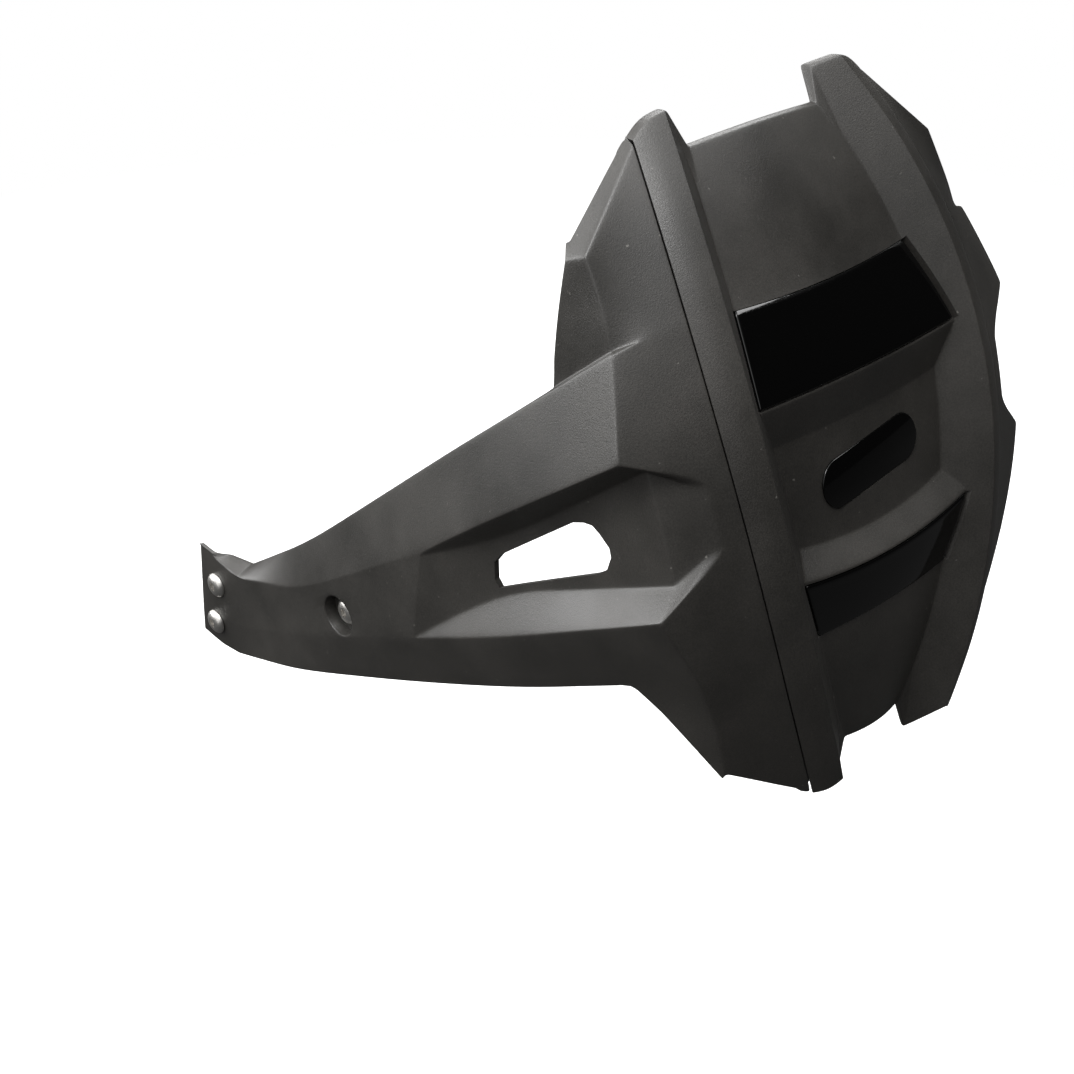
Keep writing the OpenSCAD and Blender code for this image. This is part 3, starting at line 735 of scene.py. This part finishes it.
# %% Rows of the wing
ARM_OUT, SIDE_R, SCOOP = 120, 324.5, 11
WING = [
    (44.0, 20.3, 7.5, 39.35), (43.2, 15.5, -2.0, 37.75), (40.4, 15.4, -1.4, 36.4),
    (37.2, 14.7, -0.5, 34.7), (34.2, 13.6, 0.6, 33.0), (31.55, 13.3, 2.2, 31.45),
    (31.3, 11.2, 0, 31.3),
    (28.0, 6.8, 0.4, 29.0), (24.4, 2.4, 0.7, 26.7), (20.8, -2.0, 0.9, 24.4),
    (20.4, -1.6, 0.8, 22.6), (19.2, 0, 0.5, 18.7), (18.0, 1.4, 0.3, 14.8),
    (17.6, 1.7, 0.2, 12.9), (12.8, 8.2, -2.0, 10.2), (8.0, 15.4, -3.8, 7.4),
    (5.0, 21.3, -4.5, 4.5), (1.6, 26.2, -4.5, 1.5), (-2.2, 29.7, -4.8, -0.4),
    (-5.6, 31.5, -5.0, -1.8)]
ROW_T, ROW_B, ROW_L, ROW_D = 5, 9, 13, 15
CREASE, FLANGE = 5, 7
SEAM_OPEN = 0.35 * SEAM_GAP
T_LOW, T_SPAN = -5.6, 49.6
TUCKED = [(-4.2, 43.0), (-5.3, 43.5)]   # angles where the hidden flange ends


def crease_pt(k):
    _, inboard, drop, t = WING[k]
    return pol(-(ARM_OUT - inboard), SIDE_R - drop, t)


def sunk(k):
    return ROW_B < k < ROW_L


def floor_pt(k):
    i = k - ROW_B - 1
    return pol(-(ARM_OUT - SCOOP - 1.2 - i), SIDE_R - 2.5, (23.2, 19.2, 14.7)[i])


def wing_pt(k, c):
    ts = WING[k][0]
    low, high = TUCKED[min(c, 1)]
    tt = mix(low, high, (ts - T_LOW) / T_SPAN)
    drop = 3.6 if k == 0 else 0
    if c == 0:
        return pol(-(crest_w(tt) - 4.5), seam_r(tt) - TUCK, tt)
    if c == 1:
        return pol(-(seam_w(tt) + SEAM_OPEN - 0.02), seam_r(tt) - TUCK, tt)
    s2 = pol(-(seam_w(ts) + SEAM_OPEN), seam_r(ts) - drop, ts)
    face = crease_pt(k)
    if k == ROW_T:
        face = mix(crease_pt(k - 1), crease_pt(k + 1), 0.86)
    p3 = mix(s2, face, 0.26)
    end = floor_pt(k) if sunk(k) else crease_pt(k)
    return {2: s2, 3: p3, 4: mix(p3, end if sunk(k) else face, 0.5), 5: end}[c]


def flange_edge(k):
    if k < ROW_T:
        return Vector((-(ARM_OUT - (19.6, 14.1, 13.2, 12.6, 12.4)[k]),
                       (-243.4, -248.8, -247.4, -246, -245)[k],
                       (199.8, 196, 183, 169, 155)[k]))
    u = (k - ROW_D) / 4
    return Vector((-(ARM_OUT - mix(13, 30, u)), mix(-295, -328.4, u ** 0.9),
                   mix(24.5, -12.6, u)))


print("the crease starts", round(crease_pt(ROW_B).x), "mm from the middle plane")

# %% [markdown]
# ## The lines of the arm
#
# Six lines run along the arm: its top edge, the fold below that, the two
# edges of the scoop's floor, the lower lip and the foot. Each is set at
# seven stations from the deep end of the scoop to the tab at the front, as
# millimetres inboard of the arm's face, then y and z from the arcs' centre.

# %% Rows of the arm
LINE_TOP = [(8, -187, 92.4), (7, -153, 62.6), (5.5, -80.5, -0.6), (10, -21, -43.6),
            (9, -1.5, -46.5), (0, 1.8, -43.8), (0, 13.6, -43)]
LINE_BAND = [(-0.8, -213.7, 71), (0, -173.8, 39.1), (0, -77.3, -28.3),
             (0, -20, -48.5), (0, -1.5, -46.2), (0, 1.8, -45.4), (0, 13.6, -44.6)]
LINE_LIP = [(0.8, -226, 19.6), (0, -165.9, -12.4), (0, -66, -62), (0, -17, -82),
            (0, 0, -83), (0, 3, -83), (0, 18, -83.5)]
LINE_FOOT = [(8.7, -226, -11.5), (5.8, -160, -43), (3, -66, -85.5), (1.7, -11, -103),
             (1, 3, -104), (1, 6, -104), (0.5, 20.5, -102)]
LINES = LINE_TOP, LINE_BAND, LINE_LIP, LINE_FOOT
ARM_COLS = [(-1, 0.17), (-1, 0.34), (-1, 0.67), (0, 0), (1, 0), (1, 0.5), (2, 0),
            (2, 0.5), (3, 0), (4, 0), (5, 0), (6, 0)]


def key_pt(k, s):
    """Row k of the arm at station s; the floor's two edges come from others."""
    top, band, low, foot = (Vector(line[s]) for line in LINES)
    if s == 0:
        floor_a = band + Vector((SCOOP, -5, -8))
        floor_b = low + Vector((SCOOP - 1.6, 10.5, 14.4))
    else:
        floor_a, floor_b = mix(band, low, 0.06), mix(band, low, 0.94)
    if k == ROW_T:
        q = top + Vector((1.8, 0, -1.6) if s in (3, 4) else (2.6, 0.3, -0.5))
    elif k <= ROW_B:
        q = mix(top, band, (k - ROW_T - 1) / 3)
    elif k < ROW_L:
        q = mix(floor_a, floor_b, (k - ROW_B - 1) / 2)
    else:
        q = mix(low, foot, (k - ROW_L) / 2)
    return Vector((-(ARM_OUT - q[0]), q[1], q[2]))


def arm_pt(k, m):
    s, u = ARM_COLS[m - 1]
    a = wing_pt(k, 5) if s < 0 else key_pt(k, s)
    return a if u == 0 else mix(a, key_pt(k, s + 1), u)


def side_pt(k, c, arm):
    if c <= CREASE:
        return wing_pt(k, c)
    if ROW_T <= k <= ROW_D:
        return arm_pt(k, c - CREASE) if arm or c <= FLANGE else None
    if c > FLANGE:
        return None
    return mix(crease_pt(k), flange_edge(k), 0.5 if c == 6 else 1)


last_col = CREASE + len(ARM_COLS)
left_rows = [[side_pt(k, c, True) for c in range(last_col + 1)]
             for k in range(len(WING))]
right_rows = [[side_pt(k, c, False) for c in range(FLANGE + 1)]
              for k in range(len(WING))]
for row in right_rows:
    for p in row:
        p.x = -p.x
print("left:", len(left_rows), "rows of", len(left_rows[0]), "points")

# %% Mould both wings
WING_EDGE = 1.3
left = lay_grid("left_wing_and_arm_shell", left_rows)
mould(left, WING_WALL, WING_EDGE, arc_middle)
right = lay_grid("right_wing_shell", right_rows)
mould(right, WING_WALL, WING_EDGE, arc_middle)

# %% [markdown]
# ## Bosses, counterbore and window
#
# Behind the arm, three bosses reach to the bracket. The rear screw sits in
# a counterbore. The window through the scoop's floor saves weight. It is
# cut by an extruded polygon, and most of its corners have a few short sides
# instead of one sharp point.

# %% Cut the left shell
SCREW_D, HEAD_D, HEAD_H = 6, 13.6, 3.2
CBORE_D, CBORE_DEEP, BOSS_D = 21, 6.5, 15
BRACKET_X = ARM_OUT - 9
MOUNT_X = BRACKET_X - 4
SLEEVE_D = SCREW_D + 0.4 + 2.6
SCREWS = {"upper": (1, -63.5, ARM_OUT), "lower": (5.4, -89.2, ARM_OUT),
          "rear": (-108, -28.5, ARM_OUT - CBORE_DEEP)}
for key, (y, z, _) in SCREWS.items():
    d = CBORE_D + 5 if key == "rear" else BOSS_D
    a, b, r = ARM_OUT - 1, BRACKET_X, d / 2
    boss = turned("boss", (y, z), [(a, 0), (b, 0), (b, r), (a, r)], ROUND)
    join_or_cut(left, boss, "UNION")
y, z, _ = SCREWS["rear"]
tube_cut(left, (y, z), ARM_OUT, ARM_OUT - CBORE_DEEP, CBORE_D, flare=0.9)
for y, z, _ in SCREWS.values():
    tube_cut(left, (y, z), ARM_OUT + 5, BRACKET_X - 5, SLEEVE_D)
print(len(SCREWS), "bosses, counterbore", CBORE_D, "mm wide")

# %% Cut the window
WINDOW = [(-216, 36.5), (-213.5, 40), (-213.5, 49), (-217, 54), (-258, 87.5),
          (-264, 90), (-268.5, 90.5), (-272, 88.5), (-277.5, 84),
          (-278.5, 80), (-276.5, 73.5), (-273.5, 70.5), (-270, 68)]


def window_cutter():
    """The window's outline, pushed 30 mm through the scoop's floor."""
    clear()
    bpy.ops.mesh.primitive_circle_add(vertices=len(WINDOW), fill_type="NGON")
    obj = bpy.context.object
    for v, (y, z) in zip(obj.data.vertices, WINDOW):
        v.co = place((-(ARM_OUT - 3), y, z))
    bpy.ops.object.mode_set(mode="EDIT")
    bpy.ops.mesh.select_all(action="SELECT")
    bpy.ops.mesh.extrude_region_move(TRANSFORM_OT_translate={"value": (0.03, 0, 0)})
    bpy.ops.mesh.select_all(action="SELECT")
    bpy.ops.mesh.normals_make_consistent(inside=False)
    bpy.ops.object.mode_set(mode="OBJECT")
    return obj


join_or_cut(left, window_cutter())
for shell, s in ((left, -1), (right, 1)):
    for t in JOINTS:
        seat = seam_r(t) - TUCK
        hole = radial_cylinder("cutter", joint_x(t, s), t, seat - WING_WALL - 3,
                               seat + 3, CLEAR_D, 24)
        join_or_cut(shell, hole)
finish_piece(left, charcoal, "moulded_plastic", "left_wing_arm")
finish_piece(right, charcoal, "moulded_plastic", "right_wing")
print("left shell:", len(left.data.polygons), "faces")

# %% [markdown]
# ## Screws
#
# The arm is held by three button-head screws with a hexagon socket. The
# head's dome is a turned outline with a rounded rim, and the socket is cut
# by a six-sided bar.

# %% Button-head screws
DOME = [(0, 0.97), (0.06, 1.0), (0.22, 0.99), (0.45, 0.93), (0.68, 0.82),
        (0.86, 0.66), (0.96, 0.5), (1.0, 0.4)]   # shares of its height and radius
NUT_H, PAST_NUT, TIP_BEVEL = 5, 1.5, 0.6
SOCKET_R, SOCKET_BAR = 0.00235, 0.0044           # metres; half the bar is in the head


def button_screw(name, at, seat):
    """A turned screw whose head rests at seat, with its socket cut."""
    y, z = at
    tip = MOUNT_X - NUT_H - PAST_NUT
    dome = [(seat + HEAD_H * h, HEAD_D / 2 * w) for h, w in DOME]
    outline = [(tip, 0), (tip, SCREW_D / 2 - TIP_BEVEL), (tip + TIP_BEVEL, SCREW_D / 2),
               (seat, SCREW_D / 2)] + dome + [(seat + HEAD_H, 0)]
    screw = turned(name, (y, z), outline, 48)
    clear()
    bpy.ops.mesh.primitive_cylinder_add(
        vertices=6, radius=SOCKET_R, depth=SOCKET_BAR,
        location=place((-(seat + HEAD_H), y, z)), rotation=(0, math.pi / 2, 0))
    join_or_cut(screw, bpy.context.object)
    return screw


for key, (y, z, seat) in SCREWS.items():
    screw = button_screw("button_screw_" + key, (y, z), seat)
    finish_piece(screw, stainless, "stainless", "arm_screw_" + key)
print("three screws, heads", HEAD_D, "mm across")

# %% [markdown]
# ## Bracket, sleeves, nuts and joint screws
#
# These sit behind the plastic. Their solids already have the right shape,
# so a copy of each is merged, its edges get a small bevel, and it takes
# its metal.

# %% Dress the hardware
def dress(node, name, material, slot, edge):
    """A merged copy of a solid with a bevel of edge mm and its finish."""
    clear()
    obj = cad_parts[node].copy()
    obj.data = obj.data.copy()
    obj.name = name
    bpy.context.collection.objects.link(obj)
    pick(obj)
    bpy.ops.object.mode_set(mode="EDIT")
    bpy.ops.mesh.select_all(action="SELECT")
    bpy.ops.mesh.remove_doubles(threshold=1e-5)
    bpy.ops.mesh.dissolve_limited(angle_limit=math.radians(1))
    bpy.ops.object.mode_set(mode="OBJECT")
    apply(obj, "BEVEL", width=edge * 0.001, segments=2, limit_method="ANGLE",
          angle_limit=math.radians(50))
    finish_piece(obj, material, slot, node)
    print(name, len(obj.data.polygons), "faces")


dress("mounting_bracket", "bracket_plate", zinc, "zinc_steel", 0.4)
dress("arm_sleeves", "sleeves", zinc, "zinc_steel", 0.15)
dress("weld_nuts", "nuts", zinc, "zinc_steel", 0.3)
dress("left_joint_screws", "joint_screws_left", stainless, "stainless", 0.25)
dress("right_joint_screws", "joint_screws_right", stainless, "stainless", 0.25)

# %% [markdown]
# ## Floor and light
#
# The guard hangs at the height where it is mounted, over a plain pale
# floor. Near the guard the floor is matt, so it keeps the soft shadow, and
# further out it fades to plain white. Light Path shows that pale floor to
# the camera. For the light that bounces up it is a dark grey, so the
# undersides stay dark, and mirrors see only a hundredth of the pale floor,
# which keeps the polished strips almost black.

# %% Floor
MIRROR_SHARE, FLOOR_GAP = 0.01, 0.16
clear()
bpy.ops.mesh.primitive_plane_add(size=14, location=(0.1, 0, cad_box[0][2] - FLOOR_GAP))
floor = bpy.context.object
floor.name = "floor"
bpy.ops.object.transform_apply(location=True)
paper = bpy.data.materials.new("pale_floor")
paper.use_nodes = True
tree = paper.node_tree
tree.nodes.clear()
out = add(tree, "ShaderNodeOutputMaterial")
seen = add(tree, "ShaderNodeLightPath")
direct = add(tree, "ShaderNodeMath", {"operation": "MULTIPLY_ADD", 1: MIRROR_SHARE},
             {0: seen.outputs["Is Glossy Ray"], 2: seen.outputs["Is Camera Ray"]})
shade = add(tree, "ShaderNodeMix",
            {"data_type": "RGBA", 6: linear("#2a2a2a"), 7: linear("#f4f4f4")},
            {0: direct.outputs["Value"]})
matt = add(tree, "ShaderNodeBsdfDiffuse", links={"Color": shade.outputs[2]})
spot = add(tree, "ShaderNodeTexCoord")
near = add(tree, "ShaderNodeVectorMath",
           {"operation": "DISTANCE", 1: (0.25, 0.05, -0.2)},
           {0: spot.outputs["Object"]})
fade = add(tree, "ShaderNodeMapRange", {"From Min": 0.35, "From Max": 1.1},
           {"Value": near.outputs["Value"]})
far = add(tree, "ShaderNodeMath", {"operation": "MULTIPLY"},
          {0: fade.outputs["Result"], 1: direct.outputs["Value"]})
plain = add(tree, "ShaderNodeEmission", {"Color": (1, 1, 1, 1), "Strength": 1.0})
ground = add(tree, "ShaderNodeMixShader", links={
    0: far.outputs["Value"], 1: matt.outputs["BSDF"], 2: plain.outputs["Emission"]})
tree.links.new(ground.outputs["Shader"], out.inputs["Surface"])
floor.data.materials.append(paper)
print("the floor lies", round(1000 * FLOOR_GAP), "mm below the guard")

# %% [markdown]
# The sky is a wide soft glow from above, a little to the left, and nearly
# dark at the horizon. Soft boxes do the rest, and each has one job: the low
# one at the front left gives the upward faces of the arm and wing their
# pale sheen, the high ones light the horns and the strips' upper edge, the
# one at the back draws a thin line on every edge that looks up, and a small
# one at the left is there for the steel screws.

# %% World and lamps
SKY_AT, SKY_EDGE, SKY_TOP, SKY_BASE = (-0.42, 0.14, 0.897), 0.2, 2.0, 0.015
world = bpy.data.worlds.new("studio")
bpy.context.scene.world = world
world.use_nodes = True
tree = world.node_tree
tree.nodes.clear()
out = add(tree, "ShaderNodeOutputWorld")
ray = add(tree, "ShaderNodeTexCoord")
lean = add(tree, "ShaderNodeVectorMath", {"operation": "DOT_PRODUCT", 1: SKY_AT},
           {0: ray.outputs["Generated"]})
fall = add(tree, "ShaderNodeMapRange",
           {"interpolation_type": "SMOOTHSTEP", "From Min": SKY_EDGE,
            "From Max": 1.0, "To Max": SKY_TOP}, {"Value": lean.outputs["Value"]})
glow = add(tree, "ShaderNodeMath", {"operation": "ADD", 1: SKY_BASE},
           {0: fall.outputs["Result"]})
soft = add(tree, "ShaderNodeBackground", {"Color": (1, 1, 1, 1)},
           {"Strength": glow.outputs["Value"]})
white = add(tree, "ShaderNodeBackground", {"Color": (1, 1, 1, 1), "Strength": 1.0})
seen = add(tree, "ShaderNodeLightPath")
both = add(tree, "ShaderNodeMixShader", links={0: seen.outputs["Is Camera Ray"]})
tree.links.new(soft.outputs["Background"], both.inputs[1])
tree.links.new(white.outputs["Background"], both.inputs[2])
tree.links.new(both.outputs["Shader"], out.inputs["Surface"])


def lamp(name, place_at, aim, size, watts):
    """A soft box of size (width, height) at place_at that looks at aim."""
    clear()
    bpy.ops.object.light_add(type="AREA", location=place_at)
    box = bpy.context.object
    box.name = name
    box.visible_camera = False
    box.data.shape = "RECTANGLE"
    box.data.size, box.data.size_y = size
    box.data.energy = watts
    away = Vector(place_at) - Vector(aim)
    box.rotation_euler = away.to_track_quat("Z", "Y").to_euler()


aim = (0.08, -0.15, 0.12)
lamp("overhead", (0.0, -0.1, 1.5), aim, (1.4, 1.4), 3)
lamp("low_left_front", (-0.78, 1.30, 0.56), aim, (1.35, 1.0), 25)
lamp("high_left", (-0.56, -0.32, 1.47), aim, (0.5, 0.5), 13)
lamp("far_back", (1.18, 0.92, 1.4), aim, (1.3, 0.9), 26)
lamp("left_horizon", (-1.5, -0.1, 0.1), aim, (0.35, 0.5), 0.9)
lamp("high_right_rear", (1.10, -0.42, 1.58), aim, (1.1, 0.3), 7)
bpy.context.scene.view_settings.view_transform = "Standard"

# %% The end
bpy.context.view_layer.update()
